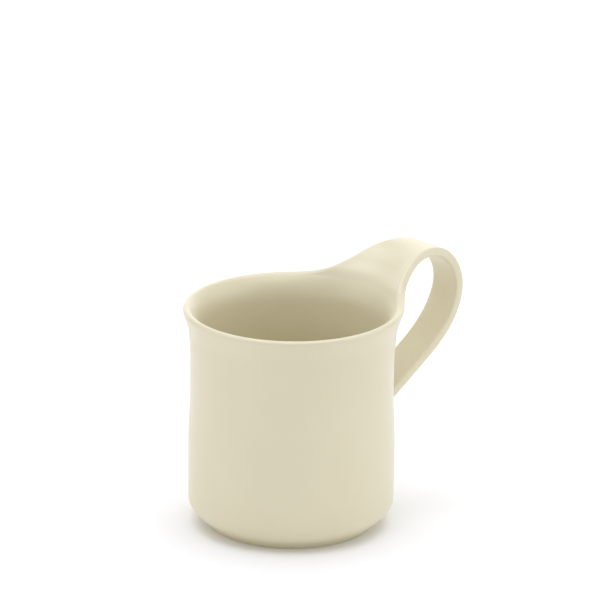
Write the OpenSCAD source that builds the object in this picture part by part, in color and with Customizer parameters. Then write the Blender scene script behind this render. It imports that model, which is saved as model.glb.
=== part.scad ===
// Shaving mug: a round cream stoneware cup whose rim sweeps up into a wide
// ribbon handle that loops over and comes down to the wall.
// Millimetres. The origin is on the cup's axis, in the plane it stands on.
// +Z is up and the handle points along +X.

/* [Cup] */
// Diameter of the wall at the belly
belly_d = 80.2; // [76:0.2:84]
// Diameter of the wall at the waist, under the flared rim
waist_d = 78.8; // [74:0.2:82]
// Diameter over the flared rim
rim_d = 84.5; // [82.4:0.1:90]
// Height of the top of the rim
rim_h = 87.8; // [82:0.2:94]
// Thickness of the rounded rim
rim_t = 3.1; // [2.4:0.1:3.8]
// Height of the rim's rounded lip
lip_h = 1.9; // [1.2:0.1:2.4]
// Thickness of the wall
wall_t = 4.4; // [4:0.1:5]
// Thickness of the floor
floor_t = 4.2; // [3:0.1:6]

/* [Foot] */
// Diameter of the foot ring where it meets the underside
foot_d = 68.8; // [64:0.2:71]
// Height of the foot ring
foot_h = 2.6; // [1.6:0.1:4]
// Width of the ground face that the mug stands on
foot_face_w = 2.6; // [1.8:0.1:4]

/* [Handle] */
// Width of the ribbon at the top of the loop
ribbon_w = 14; // [11:0.2:18]
// Width of the ribbon where it comes back to the wall
landing_w = 15.2; // [11:0.2:18]
// Thickness of the ribbon
ribbon_t = 3.8; // [3:0.1:4.4]
// Height of the top of the handle
crest_h = 100.2; // [96:0.1:106]
// Distance from the cup's axis to the outermost point of the handle
reach = 84.4; // [80:0.2:92]
// Height at which the ribbon comes back to the wall
landing_h = 38.6; // [34:0.2:44]
// Half of the angle of the rim that the handle grows out of
spread = 56.6; // [48:0.2:62]

/* [Joints] */
// Thickness of the slip between the rim and the handle's root
rim_slip_t = 0.3; // [0.2:0.1:0.6]
// How far the slip pad stands out from the wall under the ribbon's end
wall_slip_t = 0.9; // [0.6:0.1:1.6]
// How far the slip pad shows round the ribbon's end
slip_margin = 1.4; // [0.8:0.1:2]

/* [Hidden] */
$fn = 128;

glaze = [0.91, 0.89, 0.81];
bare_clay = [0.78, 0.73, 0.60];
slip = [0.88, 0.85, 0.76];

belly_r = belly_d / 2;
waist_r = waist_d / 2;
foot_r = foot_d / 2;
// The lip is rounded about this circle, and the handle's root stands on its plane.
lip_circle_r = (rim_d - rim_t) / 2;
seam_h = rim_h - lip_h;
wall_top_h = seam_h - rim_slip_t;

// Heights where the wall changes its curve, as shares of the seam's height
corner_h = 0.12 * seam_h;
belly_top_h = 0.39 * seam_h;
waist_low_h = 0.62 * seam_h;
flare_low_h = 0.72 * seam_h;
flare_mid_h = 0.89 * seam_h;
// Share of the flare that the slow bend under the lip gives, and the lip's own power
slow_flare = 0.32;
lip_power = 2;
lip_low_h = 0.925 * seam_h;
// How much narrower the wall is at the corner than at the belly
corner_draw = 0.15;
corner_steps = 12;
wall_steps = 48;
inner_corner_r = 11;

function ease(t) = t * t * (3 - 2 * t);
function share(x, low, high) = min(max((x - low) / (high - low), 0), 1);
function mix(a, b, t) = a + (b - a) * t;
function bezier2(a, b, c, t) = a * pow(1 - t, 2) + b * 2 * t * (1 - t) + c * t * t;
function bezier3(a, b, c, d, t) =
    a * pow(1 - t, 3) + b * 3 * t * pow(1 - t, 2) + c * 3 * t * t * (1 - t) + d * pow(t, 3);

// ---- cup body ----

function drawn_in(z) = corner_draw * pow(share(belly_top_h - z, 0, belly_top_h - corner_h), 2);
function flare(z) =
    (rim_d / 2 - waist_r) * mix(
        pow(share(z, flare_mid_h, wall_top_h), 1.5),
        pow(share(z, flare_low_h, wall_top_h), 1.8),
        slow_flare
    );
function outer_r(z) =
    mix(belly_r, waist_r, ease(share(z, belly_top_h, waist_low_h))) - drawn_in(z) + flare(z);
function thickness(z) = mix(wall_t, rim_t, pow(share(z, lip_low_h, wall_top_h), lip_power));
function inner_r(z) = outer_r(z) - thickness(z);

// The rounded bevel between the underside and the wall
function bevel(t) = bezier2(
    [foot_r, foot_h],
    [outer_r(corner_h), corner_h * 0.68],
    [outer_r(corner_h), corner_h],
    t
);

module wall_outline() {
    floor_h = foot_h + floor_t;
    inner_top_h = floor_h + inner_corner_r;
    arc_x = inner_r(inner_top_h) - inner_corner_r;
    underside = [[0, foot_h]];
    corner = [for (i = [0:corner_steps - 1]) bevel(i / corner_steps)];
    outside = [
        for (i = [0:wall_steps])
            let (z = mix(corner_h, wall_top_h, i / wall_steps)) [outer_r(z), z]
    ];
    inside = [
        for (i = [wall_steps:-1:1])
            let (z = mix(inner_top_h, wall_top_h, i / wall_steps)) [inner_r(z), z]
    ];
    cove = [
        for (i = [0:corner_steps])
            let (a = 90 * i / corner_steps)
            [arc_x + inner_corner_r * cos(a), inner_top_h - inner_corner_r * sin(a)]
    ];
    polygon(concat(underside, corner, outside, inside, cove, [[0, floor_h]]));
}

// The lip is keyed this far into the wall, inside its two faces.
lip_key = 0.6;
lip_key_h = 1.2;
lip_steps = 16;

// Section of the lip, from the top of the wall up
module rim_section() {
    translate([lip_circle_r, seam_h])
    polygon([
        for (i = [0:lip_steps])
            let (a = 180 * i / lip_steps) [rim_t / 2 * cos(a), lip_h * sin(a)]
    ]);
    translate([lip_circle_r - rim_t / 2, wall_top_h])
    square([rim_t, rim_slip_t]);
    translate([lip_circle_r - rim_t / 2 + lip_key, seam_h - lip_key_h])
    square([rim_t - 2 * lip_key, lip_key_h]);
}

// The lip runs round the rim except where the handle grows out of it.
module cup_body() {
    color(glaze)
    union() {
        rotate_extrude()
        wall_outline();
        rotate([0, 0, spread])
        rotate_extrude(angle = 360 - 2 * spread)
        rim_section();
    }
}

// ---- foot ring ----

// The outer side leans in towards the table. Both lower corners are broken.
foot_lean = 2.2;
foot_break = 0.4;
foot_top_w = 6;

module foot_ring() {
    outer_low_r = foot_r - foot_lean;
    inner_low_r = outer_low_r - foot_face_w - 2 * foot_break;
    color(bare_clay)
    rotate_extrude()
    polygon([
        [foot_r - 0.1, foot_h],
        [outer_low_r, foot_break],
        [outer_low_r - foot_break, 0],
        [inner_low_r + foot_break, 0],
        [inner_low_r, foot_break],
        [foot_r - foot_top_w, foot_h]
    ]);
}

// ---- ribbon handle ----

// The handle's middle surface is mid(s, v). Along it s runs from 0 at the rim to 1 at
// the crest, 2 at the outermost point, 3 where the ribbon runs straight, and 4 at the
// wall. Across it v runs from -1 at one edge to 1 at the other.
crest_t = 3.4;
crest_mid_h = crest_h - crest_t / 2;
crest_x = 63.4;
outer_mid_x = reach - ribbon_t / 2;
outer_mid_h = 80.2;
straight_x = 65.4;
straight_h = 55.8;
landing_x = belly_r + wall_slip_t - 0.05;
ribbon_edge = 1.1;
ribbon_half_w = ribbon_w / 2 - ribbon_edge;
crest_half_w = ribbon_half_w + 2.6;
narrowed_s = 1.9;
landing_slope = (straight_h - landing_h) / (straight_x - landing_x);

// Centre line in the XZ plane
rim_point = [lip_circle_r, seam_h];
crest_point = [crest_x, crest_mid_h];
outer_point = [outer_mid_x, outer_mid_h];
straight_point = [straight_x, straight_h];
landing_point = [landing_x, landing_h];
function centre(s) =
    s < 1 ? bezier3(
        rim_point,
        rim_point + [1.6, 2.6],
        crest_point - [12.6, 0],
        crest_point,
        s
    )
    : s < 2 ? bezier3(
        crest_point,
        crest_point + [9.1, 0],
        outer_point + [0, 9],
        outer_point,
        s - 1
    )
    : s < 3 ? bezier3(
        outer_point,
        outer_point - [0, 11],
        straight_point + [6.2, 6.2 * landing_slope],
        straight_point,
        s - 2
    )
    : mix(straight_point, landing_point, s - 3);

// Edge of the spreading root: it leaves the rim along the rim, rises from the shoulder
// on, and narrows to the ribbon. The shoulder is where s is 0.5.
edge_start = [lip_circle_r * cos(spread), lip_circle_r * sin(spread), seam_h];
edge_lead = 10.4;
shoulder = [41.1, 17.2, seam_h + 4.3];
shoulder_way = [0.74, -0.53, 0.41];
edge_end = [crest_x, crest_half_w, crest_mid_h];
function edge(s) =
    s < 0.5 ? bezier3(
        edge_start,
        edge_start + edge_lead * [sin(spread), -cos(spread), 0],
        shoulder - 9.6 * shoulder_way,
        shoulder,
        2 * s
    )
    : bezier3(
        shoulder,
        shoulder + 8.9 * shoulder_way,
        edge_end - 9.3 * [0.97, -0.23, 0],
        edge_end,
        2 * s - 1
    );

// Across the root the plan is an arc through the centre and both edges. Its height falls
// from the centre and levels out at the edges near the rim.
function root_mid(s, v) =
    let (c = centre(s), e = edge(s), bend = 2 * atan(max(c.x - e.x, 0.1) / e.y))
    let (q = (1 - cos(bend * v)) / (1 - cos(bend)))
    let (fall = mix(2 * v * v - pow(v, 4), v * v, ease(s)))
    [mix(c.x, e.x, q), e.y * sin(bend * v) / sin(bend), mix(c.y, e.z, fall)];

// The ribbon is narrowest a little before the outermost point, and widens below it.
function half_w(s) =
    mix(ribbon_half_w, crest_half_w, pow(1 - share(s, 1, narrowed_s), 2))
    + (landing_w - ribbon_w) / 2 * ease(share(s, 2, 3));

function mid(s, v) =
    s < 1 ? root_mid(s, v) : let (c = centre(s)) [c.x, half_w(s) * v, c.y];

function handle_t(s) =
    s < 1 ? mix(rim_t, crest_t, s) : mix(crest_t, ribbon_t, ease(min(s - 1, 1)));
function edge_depth(s) = mix(lip_h, ribbon_edge, ease(min(s, 1)));

// Unit normal of the middle surface, away from the inside of the cup. It is level at the
// root, so that the handle stands square on the rim.
step = 0.004;
function raw_normal(s, v) =
    cross(
        mid(s, v + step) - mid(s, v - step),
        mid(min(s + step, 4), v) - mid(max(s - step, 0), v)
    );
function levelled(n, s) = [n.x, n.y, n.z * ease(min(s / 0.3, 1))];
function unit(v) = v / norm(v);
function normal(s, v) = unit(levelled(unit(raw_normal(s, v)), s));

// Direction out of the edge at v = side, in the surface
function out_of_edge(s, side) =
    let (run = mid(min(s + step, 4), side) - mid(max(s - step, 0), side))
    side * unit(cross(run, normal(s, side)));

// A round edge at the rim becomes a squarer one on the ribbon.
function squared(x, s) = sign(x) * pow(abs(x), mix(1, 0.7, min(s, 1)));
function edge_point(s, side, a) =
    mid(s, side)
    + normal(s, side) * (handle_t(s) / 2) * squared(cos(a), s)
    + out_of_edge(s, side) * edge_depth(s) * squared(sin(a), s);

across = 12;
round_steps = 4;
function face_point(s, v, side) = mid(s, v) + side * normal(s, v) * handle_t(s) / 2;
function ring(s) = concat(
    [for (i = [0:across]) face_point(s, 2 * i / across - 1, 1)],
    [for (j = [1:round_steps - 1]) edge_point(s, 1, 180 * j / round_steps)],
    [for (i = [across:-1:0]) face_point(s, 2 * i / across - 1, -1)],
    [for (j = [round_steps - 1:-1:1]) edge_point(s, -1, 180 * j / round_steps)]
);

// The last ring is slid along the ribbon until it lies flat on the slip pad.
function slid_to_pad(p) =
    let (dx = landing_x - p.x) [landing_x, p.y, p.z + dx * landing_slope];

root_steps = 26;
loop_steps = 34;
stations = concat(
    [for (i = [0:root_steps - 1]) pow(i / root_steps, 1.3)],
    [for (i = [0:loop_steps]) 1 + 3 * (i / loop_steps) ]
);
last = len(stations) - 1;
ring_size = 2 * (across + 1) + 2 * (round_steps - 1);

function ring_at(k) =
    k < last ? ring(stations[k]) : [for (p = ring(stations[k])) slid_to_pad(p)];

function skin_faces() = [
    for (k = [0:last - 1], i = [0:ring_size - 1])
        let (
            a = k * ring_size + i,
            b = k * ring_size + (i + 1) % ring_size,
            c = b + ring_size,
            d = a + ring_size
        )
        each [[a, b, c], [a, c, d]]
];

// An end is a strip between the two faces, with a fan over each rounded edge.
function end_faces(first) =
    let (
        outer_last = across,
        inner_first = across + round_steps,
        inner_last = inner_first + across
    )
    concat(
        [
            for (i = [0:across - 1])
                let (a = i, b = i + 1, c = inner_last - i - 1, d = inner_last - i)
                each [[first + a, first + d, first + c], [first + a, first + c, first + b]]
        ],
        [
            for (j = [outer_last + 1:inner_first - 1])
                [first + outer_last, first + j + 1, first + j]
        ],
        [
            for (j = [inner_last + 1:ring_size - 1])
                [first + inner_last, first + (j + 1) % ring_size, first + j]
        ]
    );
function flipped(faces) = [for (f = faces) [f[0], f[2], f[1]]];

module ribbon_handle() {
    color(glaze)
    polyhedron(
        points = [for (k = [0:last]) each ring_at(k)],
        faces = concat(skin_faces(), end_faces(0), flipped(end_faces(last * ring_size)))
    );
}

// ---- slip joints ----

module rim_joint_slip() {
    color(slip)
    rotate([0, 0, -spread])
    rotate_extrude(angle = 2 * spread)
    translate([lip_circle_r - rim_t / 2, wall_top_h])
    square([rim_t, rim_slip_t]);
}

// The pad's outline round the ribbon's cut end
pad_half_w = landing_w / 2 + slip_margin;
pad_half_h = ribbon_t * sqrt(1 + pow(landing_slope, 2)) / 2 + slip_margin;
pad_corner_r = pad_half_h * 0.7;
pad_root = 3;

// Points round a rectangle with rounded corners, a quarter turn at a time
corner_turns = 8;
function rounded_box(half_x, half_y, r) = [
    for (q = [0:3], i = [0:corner_turns])
        let (
            a = 90 * (q + i / corner_turns),
            sx = q == 0 || q == 3 ? 1 : -1,
            sy = q < 2 ? 1 : -1
        )
        [sx * (half_x - r) + r * cos(a), sy * (half_y - r) + r * sin(a)]
];

module wall_joint_slip() {
    color(slip)
    difference() {
        translate([landing_x - pad_root, 0, landing_h])
        rotate([0, 90, 0])
        linear_extrude(height = pad_root)
        polygon(rounded_box(pad_half_h, pad_half_w, pad_corner_r));
        rotate_extrude()
        wall_outline();
    }
}

cup_body();
foot_ring();
ribbon_handle();
rim_joint_slip();
wall_joint_slip();
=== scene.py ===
"""Looks of the shaving mug: a cream-glazed cup whose rim sweeps up into a ribbon handle."""
import math

import bpy
import numpy as np
from mathutils import Matrix, Vector


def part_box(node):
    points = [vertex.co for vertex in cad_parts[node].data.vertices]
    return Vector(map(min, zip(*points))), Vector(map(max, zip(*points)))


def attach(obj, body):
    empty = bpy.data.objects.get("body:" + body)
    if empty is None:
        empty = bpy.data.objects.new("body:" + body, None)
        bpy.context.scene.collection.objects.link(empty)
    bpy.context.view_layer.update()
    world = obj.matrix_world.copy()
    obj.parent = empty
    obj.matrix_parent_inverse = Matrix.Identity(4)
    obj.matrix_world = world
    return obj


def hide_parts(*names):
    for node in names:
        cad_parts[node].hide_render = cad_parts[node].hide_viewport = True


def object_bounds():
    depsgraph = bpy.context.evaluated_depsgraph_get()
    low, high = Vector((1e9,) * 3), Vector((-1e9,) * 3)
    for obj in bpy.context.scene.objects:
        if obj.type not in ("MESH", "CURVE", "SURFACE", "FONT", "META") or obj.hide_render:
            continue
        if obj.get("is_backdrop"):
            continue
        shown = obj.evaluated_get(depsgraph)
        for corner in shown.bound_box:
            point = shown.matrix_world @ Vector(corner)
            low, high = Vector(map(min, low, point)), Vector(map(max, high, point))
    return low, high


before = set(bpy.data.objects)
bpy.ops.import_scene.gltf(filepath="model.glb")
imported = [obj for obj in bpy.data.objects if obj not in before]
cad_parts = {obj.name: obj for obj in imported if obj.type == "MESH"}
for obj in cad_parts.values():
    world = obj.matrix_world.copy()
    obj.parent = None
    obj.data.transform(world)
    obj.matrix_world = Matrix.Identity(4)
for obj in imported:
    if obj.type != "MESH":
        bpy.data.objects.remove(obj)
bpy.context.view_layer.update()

MM = 0.001  # shapes below are worked out in millimetres


def node_box(node):
    low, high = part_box(node)
    return np.array(low) / MM, np.array(high) / MM


# ---------------------------------------------------------------- sizes
FOOT_KEY = 0.1  # how far the underside reaches past the top of the foot ring
_, cup_high = node_box("cup_body")
_, foot_high = node_box("foot_ring")
pad_low, pad_high = node_box("wall_joint_slip")

rim_h = cup_high[2]
foot_h = foot_high[2]
foot_r = foot_high[1] + FOOT_KEY
landing_h = (pad_low[2] + pad_high[2]) / 2

RIM_T = 3.1
LIP_H = 1.95
WALL_T = 4.4
FLOOR_T = 4.2
BELLY_R = 40.1
WAIST_R = 39.4
RIBBON_W = 14.0
RIBBON_T = 3.8
LANDING_WIDER = 0.6  # how far each edge is further out at the wall
WIDENING = 0.5  # and half way down to it
RIBBON_EDGE = 1.1
CREST_T = 3.4
SLIP_T = 0.3
SPREAD = math.radians(56.6)
PULL = 1.2  # how far the rim is drawn out towards the handle
SEAM_DROP = 1.9  # from the top of the rim down to the plane that the handle stands on
seam_h = rim_h - SEAM_DROP


def share(x, low, high):
    return np.clip((x - low) / (high - low), 0, 1)


def ease(t):
    return t * t * (3 - 2 * t)


def mix(a, b, t):
    return a + (b - a) * t


# ---------------------------------------------------------------- wall
CORNER_H = 10.3
BELLY_TOP_H = 33.5
WAIST_LOW_H = 53.0
CORNER_DRAW = 0.15
LIP_LOW_H = 81.5
ROOT_T = 4.2  # thickness of the rim in the middle of the handle's root
ROOT_H = 11.0  # height above the rim at which the root has the ribbon's thickness
THIN_H = 3.5  # height above the rim over which the root stops thinning


def bend_out(z, low, high, slope):
    """Straight below low, then leans out more and more, up to the slope at high."""
    t = np.maximum((z - low) / (high - low), 0)
    return slope * (high - low) * np.where(t < 1, t**3 - t**4 / 2, t - 0.5)


def wall_outer_r(z):
    flare = bend_out(z, 62, 76, 0.065) + bend_out(z, 77, 82, 0.25)
    drawn_in = CORNER_DRAW * share(BELLY_TOP_H - z, 0, BELLY_TOP_H - CORNER_H) ** 2
    return mix(BELLY_R, WAIST_R, ease(share(z, BELLY_TOP_H, WAIST_LOW_H))) - drawn_in + flare


def lip_t(angle):
    """The lip is left thicker where the handle grows out of it."""
    return mix(RIM_T, ROOT_T, ease(share(math.radians(60) - np.abs(angle), 0, math.radians(45))))


def wall_t(angle, z):
    """The inside of the lip leans out more than the outside, which thins it."""
    above = np.maximum((z - LIP_LOW_H) / (seam_h - LIP_LOW_H), 0)
    return mix(WALL_T, lip_t(angle), above**2)


def pulled(angle, z):
    """The wall leans out a little more under the handle."""
    wide = ease(share(math.radians(78) - np.abs(angle), 0, math.radians(78)))
    return wide * (PULL * ease(share(z, 55, seam_h + 8)) + bend_out(z, 82, 88, 0.4))


def wall_mid(angle, z):
    """Middle surface of the wall."""
    angle, z = np.broadcast_arrays(np.asarray(angle, float), np.asarray(z, float))
    r = wall_outer_r(z) - wall_t(angle, z) / 2 + pulled(angle, z)
    return np.stack([r * np.cos(angle), r * np.sin(angle), z], -1)


def unit(v):
    return v / np.linalg.norm(v, axis=-1, keepdims=True)


def wall_normal(angle, z):
    e = 0.05
    up = wall_mid(angle, z + e) - wall_mid(angle, z - e)
    round_way = wall_mid(angle + 0.002, z) - wall_mid(angle - 0.002, z)
    return unit(np.cross(round_way, up))


# ---------------------------------------------------------------- handle
class Spline:
    """Cubic spline through rows of values at the given knots, with set end slopes."""

    def __init__(self, knots, rows, start, end):
        self.x, self.y = np.asarray(knots, float), np.asarray(rows, float)
        h, n = np.diff(self.x), len(knots)
        a, b = np.zeros((n, n)), np.zeros_like(self.y)
        a[0, 0] = a[-1, -1] = 1
        b[0], b[-1] = start, end
        slopes = np.diff(self.y, axis=0) / h[:, None]
        for i in range(1, n - 1):
            a[i, i - 1], a[i, i], a[i, i + 1] = h[i], 2 * (h[i - 1] + h[i]), h[i - 1]
            b[i] = 3 * (h[i] * slopes[i - 1] + h[i - 1] * slopes[i])
        self.m = np.linalg.solve(a, b)

    def __call__(self, s):
        s = np.clip(np.asarray(s, float), self.x[0], self.x[-1])
        i = np.clip(np.searchsorted(self.x, s, "right") - 1, 0, len(self.x) - 2)
        h = (self.x[i + 1] - self.x[i])[..., None]
        t = (s - self.x[i])[..., None] / h
        return (
            (1 + 2 * t) * (1 - t) ** 2 * self.y[i]
            + t * (1 - t) ** 2 * h * self.m[i]
            + t * t * (3 - 2 * t) * self.y[i + 1]
            + t * t * (t - 1) * h * self.m[i + 1]
        )


half_w = RIBBON_W / 2 - RIBBON_EDGE
corner_point = wall_mid(SPREAD, seam_h)
rim_point = wall_mid(0.0, seam_h)
LAND_X = 39.0  # the ribbon runs on to here, inside the wall
LAND_DROP = 0.9  # its end lies this far under the middle of the slip
# Stations down the handle: centre x and z, edge x and z, half width
stations = [
    [rim_point[0], seam_h, corner_point[0], seam_h, corner_point[1]],
    [45.2, 89.4, 34.55, 87.1, 23.4],
    [48.8, 92.4, 41.1, 90.2, 17.2],
    [54.8, 96.1, 52.0, 96.1, 11.6],
    [66.2, 97.5, 66.2, 97.6, 7.8],
    [76.3, 92.9, 76.3, 92.9, half_w],
    [82.1, 82.4, 82.1, 82.4, half_w],
    [76.2, 65.5, 76.2, 65.5, half_w + WIDENING],
    [62.7, 53.9, 62.7, 53.9, half_w + LANDING_WIDER],
    [LAND_X, landing_h - LAND_DROP, LAND_X, landing_h - LAND_DROP, half_w + LANDING_WIDER],
]
edges = np.array(stations)[:, [2, 4, 3]]
knots = np.concatenate([[0], np.cumsum(np.linalg.norm(np.diff(edges, axis=0), axis=1))])
CREST = knots[4]
END = knots[-1]
lean = unit(wall_mid(0.0, seam_h) - wall_mid(0.0, seam_h - 0.5))[[0, 2]]
ROOT_SPEED = 0.34  # how fast the centre line leaves the rim, against its edges
away = unit(np.array([stations[-1][0] - stations[-2][0], stations[-1][1] - stations[-2][1]]))
skeleton = Spline(
    knots,
    stations,
    [ROOT_SPEED * lean[0], ROOT_SPEED * lean[1], math.sin(SPREAD), 0, -math.cos(SPREAD)],
    [away[0], away[1], away[0], away[1], 0],
)


def raw_mid(s, v):
    """Across the handle, the plan is an arc through the centre and both edges."""
    s, v = np.broadcast_arrays(np.asarray(s, float), np.asarray(v, float))
    k = skeleton(s)
    bend = 2 * np.arctan(np.maximum(k[..., 0] - k[..., 2], 0.1) / k[..., 4])
    q = (1 - np.cos(bend * v)) / (1 - np.cos(bend))
    flat_edge = mix(2 * v**2 - v**4, v**2, ease(share(s, 0, CREST)))
    return np.stack(
        [
            mix(k[..., 0], k[..., 2], q),
            k[..., 4] * np.sin(bend * v) / np.sin(bend),
            mix(k[..., 1], k[..., 3], flat_edge),
        ],
        -1,
    )


ROOT = 45.0  # how far up the handle its root reaches
CARRY_H = 7.0  # height over which it leaves the wall's own surface, carried on upwards
path = skeleton(np.linspace(0, CREST, 600))


def carried_x(y, z):
    """The wall's middle surface, carried on above the rim."""
    e = 0.1
    angle = np.arcsin(np.clip(y / rim_point[0], -1, 1))
    for _ in range(5):
        high = np.linalg.norm(wall_mid(angle, seam_h)[..., :2], axis=-1)
        low = np.linalg.norm(wall_mid(angle, seam_h - e)[..., :2], axis=-1)
        r = high + (high - low) / e * (z - seam_h)
        angle = np.arcsin(np.clip(y / r, -1, 1))
    return r * np.cos(angle)


def contour_x(y, z):
    """At any height the root runs round the axis at its edges and bulges to its centre."""
    c = np.interp(z, path[:, 1], path[:, 0])
    edge_x = np.interp(z, path[:, 3], path[:, 2])
    edge_y = np.interp(z, path[:, 3], path[:, 4])
    r = np.hypot(edge_x, edge_y)
    inward = 1 - share(y * y, 0, edge_y**2)
    return np.sqrt(np.maximum(r * r - y * y, 0.01)) + (c - r) * inward**1.3


def root_x(y, z):
    t = ease(share(z - seam_h, 0, CARRY_H))
    return mix(carried_x(y, z), contour_x(y, z), t)


def leaving(s, z):
    """0 where the root is worked out height by height, 1 on the ribbon."""
    return np.where(s > ROOT, 1.0, ease(share(z, seam_h + 3, seam_h + 9)))


def mid(s, v):
    """Middle surface of the handle."""
    s, v = np.broadcast_arrays(np.asarray(s, float), np.asarray(v, float))
    raw = raw_mid(s, v)
    start = wall_mid(SPREAD * v, seam_h)[..., 1] - raw_mid(np.zeros_like(v), v)[..., 1]
    y = raw[..., 1] + start * (1 - ease(share(s, 0, 20.0)))
    z = raw[..., 2]
    x = mix(root_x(y, z), raw[..., 0], leaving(s, z))
    return np.stack([x, y, z], -1)


def cross_normal(s, v):
    e = 0.05
    along = mid(np.clip(s + e, 0, END), v) - mid(np.clip(s - e, 0, END), v)
    across = mid(s, v + 0.01) - mid(s, v - 0.01)
    return unit(np.cross(across, along))


def root_normal(y, z):
    e = 0.05
    by_y = (root_x(y + e, z) - root_x(y - e, z)) / (2 * e)
    by_z = (root_x(y, z + e) - root_x(y, z - e)) / (2 * e)
    return unit(np.stack([np.ones_like(y), -by_y, -by_z], -1))


def mid_normal(s, v):
    s, v = np.broadcast_arrays(np.asarray(s, float), np.asarray(v, float))
    p = mid(s, v)
    n = cross_normal(np.maximum(s, 12.0), v)
    return unit(mix(root_normal(p[..., 1], p[..., 2]), n, leaving(s, p[..., 2])[..., None]))


def handle_t(s, v):
    """Goes on thinning for a little above the rim, as the wall does below it."""
    s, v = np.broadcast_arrays(np.asarray(s, float), np.asarray(v, float))
    p = mid(s, v)
    root_t = lip_t(np.arctan2(p[..., 1], p[..., 0]))
    rise = np.where(s > ROOT, 99.0, p[..., 2] - seam_h)
    after = mix(CREST_T, RIBBON_T, ease(share(s, CREST, knots[6])))
    up = share(rise, 0, THIN_H)
    thinning = 2 * (WALL_T - root_t) / (seam_h - LIP_LOW_H)
    root = root_t - thinning * THIN_H * up * (1 - up) ** 2
    return mix(root, after, ease(share(rise, 0, ROOT_H)))


def edge_depth(s):
    return mix(LIP_H, RIBBON_EDGE, ease(share(s, 0, CREST)))


def squared(x, s):
    return np.sign(x) * np.abs(x) ** mix(1, 0.6, share(s, 0, CREST))


def edge_round(s, side, turns):
    """Points round the edge at v = side, from the outer face to the inner."""
    s = np.asarray(s, float)
    e = 0.05
    run = mid(np.clip(s + e, 0, END), side) - mid(np.clip(s - e, 0, END), side)
    n = mid_normal(s, np.full_like(s, side))
    out = side * unit(np.cross(run, n))
    a = np.pi * np.asarray(turns)[None, :]
    s2 = s[:, None]
    return (
        mid(s, np.full_like(s, side))[:, None]
        + n[:, None] * (handle_t(s2, side) / 2 * squared(np.cos(a), s2))[..., None]
        + out[:, None] * (edge_depth(s2) * squared(np.sin(a), s2))[..., None]
    )


# ---------------------------------------------------------------- the skin
class Skin:
    """One welded surface, whose faces are shared out to named pieces afterwards."""

    def __init__(self):
        self.points, self.faces, self.piece, self.inside = [], [], [], []

    def add(self, points):
        points = np.asarray(points, float)
        first = len(self.points)
        self.points.extend(points.reshape(-1, 3))
        return np.arange(first, len(self.points)).reshape(points.shape[:-1])

    def face(self, corners, piece, inside=False):
        corners = [int(c) for c in corners]
        self.faces.append(corners)
        self.piece.append(piece)
        self.inside.append(inside)

    def sheet(self, rows, piece, closed=False):
        """Quads between rows of vertex numbers."""
        for a, b in zip(rows[:-1], rows[1:]):
            n = len(a)
            for j in range(n if closed else n - 1):
                k = (j + 1) % n
                self.face([a[j], a[k], b[k], b[j]], piece)


ACROSS = 48
REST = 104
ROUND = 8
WALL_ROWS = 56
skin = Skin()
sector = np.linspace(-SPREAD, SPREAD, ACROSS + 1)
rest = np.linspace(SPREAD, 2 * math.pi - SPREAD, REST + 1)
columns = np.concatenate([sector, rest[1:-1]])
column_angle = np.where(columns > math.pi, columns - 2 * math.pi, columns)


def wall_row(z, side):
    """The wall's outer face (side 1) or inner face (side -1) at one height."""
    half_t = wall_t(column_angle, z)[:, None] / 2
    return wall_mid(column_angle, z) + side * wall_normal(column_angle, z) * half_t


def revolved(r, z):
    return np.stack([r * np.cos(columns), r * np.sin(columns), np.full_like(columns, z)], -1)


# Outer face, from the middle of the underside up to the rim
outer_start = wall_row(CORNER_H, 1)
outer_start_r = np.linalg.norm(outer_start[0, :2])
UNDER_DOME = 0.7  # how far the middle of the underside is raised
BEVEL_PULL = 0.68  # height that the lower corner is drawn to, as a share of its own
rows = []
for t in np.linspace(0.06, 1, 9)[:-1]:
    rows.append(skin.add(revolved(foot_r * t, foot_h + UNDER_DOME * (1 - t**4))))
for t in np.linspace(0, 1, 15)[:-1]:
    r = foot_r * (1 - t) ** 2 + outer_start_r * (2 * t * (1 - t) + t * t)
    z = foot_h * (1 - t) ** 2 + CORNER_H * (BEVEL_PULL * 2 * t * (1 - t) + t * t)
    rows.append(skin.add(revolved(r, z)))
for z in np.linspace(CORNER_H, seam_h - SLIP_T, WALL_ROWS):
    rows.append(skin.add(wall_row(z, 1)))
outer_slip = rows[-1]
outer_seam = skin.add(wall_row(seam_h, 1))
skin.sheet(rows, "cup", closed=True)
skin.face(list(rows[0])[::-1], "cup")

# Inner face, from the rim down to the middle of the floor
COVE_R = 11.0
FLOOR_DISH = 0.3  # how much lower the floor is in the middle
floor_h = foot_h + FLOOR_T
inner_low_h = floor_h + COVE_R
inner_seam = skin.add(wall_row(seam_h, -1))
rows = []
for z in np.linspace(seam_h - SLIP_T, inner_low_h, WALL_ROWS):
    rows.append(skin.add(wall_row(z, -1)))
inner_slip = rows[0]
inner_low_r = np.linalg.norm(wall_row(inner_low_h, -1)[0, :2])
for a in np.radians(np.linspace(0, 90, 13))[1:]:
    r = inner_low_r - COVE_R * (1 - math.cos(a))
    rows.append(skin.add(revolved(r, inner_low_h - COVE_R * math.sin(a))))
cove_end_r = inner_low_r - COVE_R
for t in np.linspace(0, 1, 9)[1:-1]:
    rows.append(skin.add(revolved(cove_end_r * (1 - t), floor_h - FLOOR_DISH * ease(t))))
skin.sheet(rows, "cup", closed=True)
skin.face(list(rows[-1]), "cup")


def seam_band(low, high, flip):
    """The thin band at the top of the wall: slip under the handle, cup elsewhere."""
    n = len(columns)
    for j in range(n):
        k = (j + 1) % n
        quad = [low[j], low[k], high[k], high[j]]
        piece = "rim_slip" if j < ACROSS else "cup"
        skin.face(quad[::-1] if flip else quad, piece)


seam_band(outer_slip, outer_seam, False)
seam_band(inner_slip, inner_seam, True)

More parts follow.
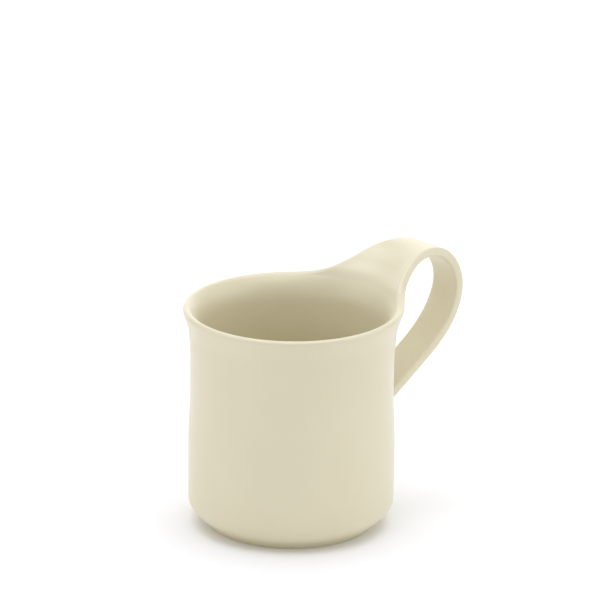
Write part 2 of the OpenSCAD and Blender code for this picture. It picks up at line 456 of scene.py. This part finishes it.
# The rolled rim, outside the handle's sector
turns = np.linspace(0, 1, ROUND + 1)[1:-1]
rim_columns = list(range(ACROSS, len(columns))) + [0]
rim_angle = column_angle[rim_columns]
n = wall_normal(rim_angle, seam_h)
up = unit(wall_mid(rim_angle, seam_h + 0.05) - wall_mid(rim_angle, seam_h - 0.05))
a = np.pi * turns
roll = (
    wall_mid(rim_angle, seam_h)[:, None]
    + n[:, None] * (RIM_T / 2 * np.cos(a))[None, :, None]
    + up[:, None] * (LIP_H * np.sin(a))[None, :, None]
)
roll = skin.add(roll)
roll_rows = (
    [outer_seam[rim_columns]] + [roll[:, i] for i in range(len(turns))] + [inner_seam[rim_columns]]
)
skin.sheet(roll_rows, "cup")

# The handle: rings of vertices, the first shared with the rim
LOOP_ROWS = 190
vs = np.linspace(-1, 1, ACROSS + 1)
station_s = END * np.linspace(0, 1, LOOP_ROWS + 1) ** 1.08
s_grid, v_grid = np.meshgrid(station_s[1:], vs, indexing="ij")
m, nn = mid(s_grid, v_grid), mid_normal(s_grid, v_grid)
half = (handle_t(s_grid, v_grid) / 2)[..., None]
outer_face = m + nn * half
inner_face = m - nn * half
plus_edge = edge_round(station_s[1:], 1.0, turns)
minus_edge = edge_round(station_s[1:], -1.0, turns)[:, ::-1]
loop_points = np.concatenate([outer_face, plus_edge, inner_face[:, ::-1], minus_edge], axis=1)
loop = skin.add(loop_points)
first_ring = np.concatenate(
    [outer_seam[: ACROSS + 1], roll[0], inner_seam[: ACROSS + 1][::-1], roll[-1][::-1]]
)
rings = [first_ring] + list(loop)
skin.sheet(rings, "handle", closed=True)
skin.face(list(rings[-1]), "handle", inside=True)

# Faces inside the joints close each piece
for j in range(ACROSS):
    low = [outer_slip[j], outer_slip[j + 1], inner_slip[j + 1], inner_slip[j]]
    high = [outer_seam[j], outer_seam[j + 1], inner_seam[j + 1], inner_seam[j]]
    skin.face(low, "cup", inside=True)
    skin.face(low[::-1], "rim_slip", inside=True)
    skin.face(high, "rim_slip", inside=True)
    skin.face(high[::-1], "handle", inside=True)
for j, end_roll in ((ACROSS, roll[0]), (0, roll[-1])):
    side = [outer_slip[j], outer_seam[j], inner_seam[j], inner_slip[j]]
    cap = [outer_seam[j], *end_roll, inner_seam[j]]
    whole = [outer_slip[j], outer_seam[j], *end_roll, inner_seam[j], inner_slip[j]]
    turn = 1 if j else -1
    skin.face(whole[::turn], "cup", inside=True)
    skin.face(side[::-turn], "rim_slip", inside=True)
    skin.face(cap[::-turn], "handle", inside=True)


# ---------------------------------------------------------------- slip at the wall
def wall_point(p):
    """The point of the wall's outer face that lies level with p, at p's angle."""
    angle = np.arctan2(p[..., 1], p[..., 0])
    r = wall_outer_r(p[..., 2])
    return np.stack([r * np.cos(angle), r * np.sin(angle), p[..., 2]], -1)


def to_wall(p, direction):
    """Slides points along a direction until they reach the wall."""
    q = p.copy()
    for _ in range(12):
        gap = np.linalg.norm(q[..., :2], axis=-1) - wall_outer_r(q[..., 2])
        q = q + direction * (gap / max(-direction[0], 0.3))[..., None]
    return q


FILLET = 1.9  # reach of the slip along the ribbon
ON_WALL = 0.8  # and along the wall, as a share of that
UNDER_WALL = 0.985  # the collar's back lies this share of the radius out, inside the wall
down = np.array([away[0], 0, away[1]])
COLLAR_FROM = 12.0  # how far before its end the ribbon gives the collar its outline
ring_s = END - COLLAR_FROM
ring_index = int(np.argmin(np.abs(station_s[1:] - ring_s)))
straight_ring = loop_points[ring_index]
meet = to_wall(straight_ring, down)
centre_meet = meet.mean(0)
strap_side = meet - down * FILLET
spread_out = unit((meet - centre_meet) * np.array([0.0, 1.0, 1.0]))
wall_side = wall_point(meet + spread_out * FILLET * ON_WALL)
collar_rows = []
COLLAR = 9
for t in np.linspace(0, 1, COLLAR):
    bulge = (1 - t) ** 2 * strap_side + 2 * t * (1 - t) * meet + t * t * wall_side
    collar_rows.append(bulge)
collar_under = wall_side * np.array([UNDER_WALL, UNDER_WALL, 1.0])
collar_heart = strap_side + down * (FILLET + 0.8)


# ---------------------------------------------------------------- pieces
def smooth_normals(points, faces):
    mesh = bpy.data.meshes.new("whole")
    mesh.from_pydata([tuple(p) for p in points], [], faces)
    mesh.update()
    normals = np.array([v.vector[:] for v in mesh.vertex_normals])
    bpy.data.meshes.remove(mesh)
    return normals


def build(name, points, faces, inside=None, normals=None):
    """A mesh object in metres. Outer faces take the given normals, inner ones stay flat."""
    used = sorted({i for f in faces for i in f})
    number = {old: new for new, old in enumerate(used)}
    mesh = bpy.data.meshes.new(name)
    mesh.from_pydata(
        [tuple(points[i] * MM) for i in used], [], [[number[i] for i in f] for f in faces]
    )
    mesh.update()
    for k, p in enumerate(mesh.polygons):
        p.use_smooth = not (inside and inside[k])
    if normals is not None:
        loops = []
        for k, p in enumerate(mesh.polygons):
            for i in faces[k]:
                flat = inside and inside[k]
                loops.append(tuple(p.normal) if flat else tuple(normals[i]))
        mesh.normals_split_custom_set(loops)
    obj = bpy.data.objects.new(name, mesh)
    bpy.context.scene.collection.objects.link(obj)
    return obj


points = np.array(skin.points)
outside_faces = [f for f, hidden in zip(skin.faces, skin.inside) if not hidden]
whole_normals = smooth_normals(points, outside_faces)


def piece(label, name):
    picked = [i for i, p in enumerate(skin.piece) if p == label]
    return build(
        name,
        points,
        [skin.faces[i] for i in picked],
        [skin.inside[i] for i in picked],
        whole_normals,
    )


cup = piece("cup", "cup_glazed")
rim_slip = piece("rim_slip", "rim_slip_glazed")
handle = piece("handle", "handle_glazed")

collar = Skin()
collar_grid = [collar.add(r) for r in [collar_heart, *collar_rows, collar_under]]
collar.sheet(collar_grid[1:-1], "collar", closed=True)
collar.sheet(collar_grid[-2:], "collar", closed=True)
collar.sheet(collar_grid[:2], "collar", closed=True)
collar.face(list(collar_grid[0])[::-1], "collar", inside=True)
collar.face(list(collar_grid[-1]), "collar", inside=True)
collar_points = np.array(collar.points)
wall_slip = build("wall_slip_glazed", collar_points, collar.faces, collar.inside)

# Foot ring: leans in, with broken corners and a ground face
FOOT_LEAN = 2.2
FOOT_FACE_W = 2.6
FOOT_BREAK = 0.4
FOOT_TOP_W = 6.0
foot = Skin()
outer_low = foot_r - FOOT_LEAN
inner_low = outer_low - FOOT_FACE_W - 2 * FOOT_BREAK
foot_profile = [(foot_r - 0.05, foot_h)]
for t in np.linspace(0, 1, 6):
    foot_profile.append((mix(foot_r - 0.1, outer_low, ease(t)), mix(foot_h - 0.05, FOOT_BREAK, t)))
for a in np.radians(np.linspace(0, 90, 6))[1:]:
    foot_profile.append(
        (outer_low - FOOT_BREAK * (1 - math.cos(a)), FOOT_BREAK * (1 - math.sin(a)))
    )
for t in np.linspace(0, 1, 5)[1:]:
    foot_profile.append((mix(outer_low - FOOT_BREAK, inner_low + FOOT_BREAK, t), 0))
for a in np.radians(np.linspace(0, 90, 6))[1:]:
    foot_profile.append(
        (inner_low + FOOT_BREAK * (1 - math.sin(a)), FOOT_BREAK * (1 - math.cos(a)))
    )
for t in np.linspace(0, 1, 5)[1:]:
    foot_profile.append((mix(inner_low, foot_r - FOOT_TOP_W, ease(t)), mix(FOOT_BREAK, foot_h, t)))
foot_rows = [foot.add(revolved(r, z)) for r, z in foot_profile]
foot.sheet([*foot_rows[::-1], foot_rows[-1]], "foot", closed=True)
foot_ring = build("foot_ring_clay", np.array(foot.points), foot.faces)


# ---------------------------------------------------------------- materials
def material(name):
    mat = bpy.data.materials.new(name)
    mat.use_nodes = True
    nodes, links = mat.node_tree.nodes, mat.node_tree.links
    shader = nodes["Principled BSDF"]
    return mat, nodes, links, shader


def noise(nodes, links, where, scale, detail):
    cloud = nodes.new("ShaderNodeTexNoise")
    cloud.inputs["Scale"].default_value = scale
    cloud.inputs["Detail"].default_value = detail
    links.new(where.outputs["Object"], cloud.inputs["Vector"])
    return cloud.outputs["Fac"]


def ramp(nodes, links, source, stops):
    """Stops are a position and a value or a colour."""
    tint = nodes.new("ShaderNodeValToRGB")
    links.new(source, tint.inputs["Fac"])
    for k, (position, value) in enumerate(stops):
        colour = value if isinstance(value, tuple) else (value, value, value)
        tint.color_ramp.elements[k].position = position
        tint.color_ramp.elements[k].color = (*colour, 1)
    return tint.outputs["Color"]


def bump(nodes, links, shader, source, distance, strength):
    relief = nodes.new("ShaderNodeBump")
    relief.inputs["Distance"].default_value = distance
    relief.inputs["Strength"].default_value = strength
    links.new(source, relief.inputs["Height"])
    links.new(relief.outputs["Normal"], shader.inputs["Normal"])


def glaze(name):
    """Cream glaze that pools a little, with a faint orange-peel surface."""
    mat, nodes, links, shader = material(name)
    where = nodes.new("ShaderNodeTexCoord")
    pooled = noise(nodes, links, where, 38, 3)
    tints = [(0.3, (0.712, 0.653, 0.460)), (0.7, (0.734, 0.675, 0.480))]
    links.new(ramp(nodes, links, pooled, tints), shader.inputs["Base Color"])
    sheen = noise(nodes, links, where, 90, 2)
    gloss = ramp(nodes, links, sheen, [(0.3, 0.29), (0.7, 0.35)])
    links.new(gloss, shader.inputs["Roughness"])
    peel = noise(nodes, links, where, 420, 2)
    bump(nodes, links, shader, peel, 0.0001, 0.12)
    shader.inputs["IOR"].default_value = 1.65
    return mat


def clay(name):
    """Bare fired clay with fine darker grains."""
    mat, nodes, links, shader = material(name)
    where = nodes.new("ShaderNodeTexCoord")
    grain = noise(nodes, links, where, 1500, 4)
    tints = [(0.32, (0.50, 0.44, 0.30)), (0.5, (0.66, 0.61, 0.44))]
    links.new(ramp(nodes, links, grain, tints), shader.inputs["Base Color"])
    bump(nodes, links, shader, grain, 0.0001, 0.5)
    shader.inputs["Roughness"].default_value = 0.85
    return mat


cream = glaze("cream_glaze")
bare = clay("bare_clay")
for obj in (cup, rim_slip, handle, wall_slip):
    obj.data.materials.append(cream)
foot_ring.data.materials.append(cream)
foot_ring.data.materials.append(bare)
for face in foot_ring.data.polygons:
    face.material_index = int(face.center.z < FOOT_BREAK * MM * 0.5)
for obj, node, slot in (
    (cup, "cup_body", "cream_glaze"),
    (rim_slip, "rim_joint_slip", "joint_slip"),
    (handle, "ribbon_handle", "cream_glaze"),
    (wall_slip, "wall_joint_slip", "joint_slip"),
    (foot_ring, "foot_ring", "bare_clay"),
):
    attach(obj, "root")
    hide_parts(node)

# ---------------------------------------------------------------- stage
floor_mesh = bpy.data.meshes.new("floor")
F = 3.0  # half of the floor's width, in metres
floor_mesh.from_pydata([(-F, -F, 0), (F, -F, 0), (F, F, 0), (-F, F, 0)], [], [(0, 1, 2, 3)])
floor = bpy.data.objects.new("floor", floor_mesh)
bpy.context.scene.collection.objects.link(floor)
floor_mat, _, _, floor_shader = material("floor_white")
floor_shader.inputs["Base Color"].default_value = (0.97, 0.97, 0.97, 1)
floor_shader.inputs["Roughness"].default_value = 0.9
floor_shader.inputs["Specular IOR Level"].default_value = 0.0
floor_mesh.materials.append(floor_mat)
floor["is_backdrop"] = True

world = bpy.data.worlds.new("studio")
bpy.context.scene.world = world
world.use_nodes = True
world.node_tree.nodes["Background"].inputs["Color"].default_value = (1, 1, 1, 1)
world.node_tree.nodes["Background"].inputs["Strength"].default_value = 0.585


def softbox(name, place, aim, size, power, colour=(1, 1, 1)):
    light = bpy.data.lights.new(name, "AREA")
    light.shape = "RECTANGLE"
    light.size, light.size_y = size
    light.energy = power
    light.color = colour
    obj = bpy.data.objects.new(name, light)
    obj.location = place
    obj.rotation_mode = "QUATERNION"
    obj.rotation_quaternion = (Vector(aim) - Vector(place)).to_track_quat("-Z", "Y")
    bpy.context.scene.collection.objects.link(obj)
    return obj


AZIMUTH = math.radians(-42.0)
TO_RIGHT = Vector((math.cos(AZIMUTH), math.sin(AZIMUTH), 0))
TO_FRONT = Vector((math.sin(AZIMUTH), -math.cos(AZIMUTH), 0))
MIDDLE = (0, 0, 0.05)
COOL_WHITE = (0.88, 0.9, 1)


def stand(right, front, height):
    return TO_RIGHT * right + TO_FRONT * front + Vector((0, 0, height))


softbox("top_box", stand(0, -0.05, 1.3), MIDDLE, (1.5, 1.5), 12.9, COOL_WHITE)
softbox("back_box", stand(0, -1.4, 0.45), MIDDLE, (2.4, 0.8), 5)
softbox("left_box", stand(-1.2, 0.2, 0.5), MIDDLE, (1.2, 0.9), 1.9)
softbox("right_box", stand(1.2, 0.2, 0.5), MIDDLE, (1.2, 0.9), 2.6)

# ---------------------------------------------------------------- camera
ELEVATION = math.radians(20.2)
ROLL = math.radians(0.53)
DISTANCE = 2.472
AIM_RIGHT, AIM_UP = 0.00285, 0.0469
AIM_FROM = Vector((0, 0, 0.0407))
back = Vector(
    (
        math.sin(AZIMUTH) * math.cos(ELEVATION),
        -math.cos(AZIMUTH) * math.cos(ELEVATION),
        math.sin(ELEVATION),
    )
)
above = back.cross(TO_RIGHT)
camera_data = bpy.data.cameras.new("camera")
camera_data.lens = 382.6
camera_data.sensor_width = 36
camera_data.clip_end = 20
camera = bpy.data.objects.new("camera", camera_data)
bpy.context.scene.collection.objects.link(camera)
place = AIM_FROM + back * DISTANCE
look = (AIM_FROM + TO_RIGHT * AIM_RIGHT + above * AIM_UP - place).normalized()
side = look.cross(above).normalized()
top = side.cross(look)
side, top = (
    side * math.cos(ROLL) + top * math.sin(ROLL),
    top * math.cos(ROLL) - side * math.sin(ROLL),
)
turned = Matrix((side, top, -look)).transposed()
camera.matrix_world = Matrix.Translation(place) @ turned.to_4x4()
bpy.context.scene.camera = camera
bpy.context.scene.view_settings.view_transform = "Standard"

low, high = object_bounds()
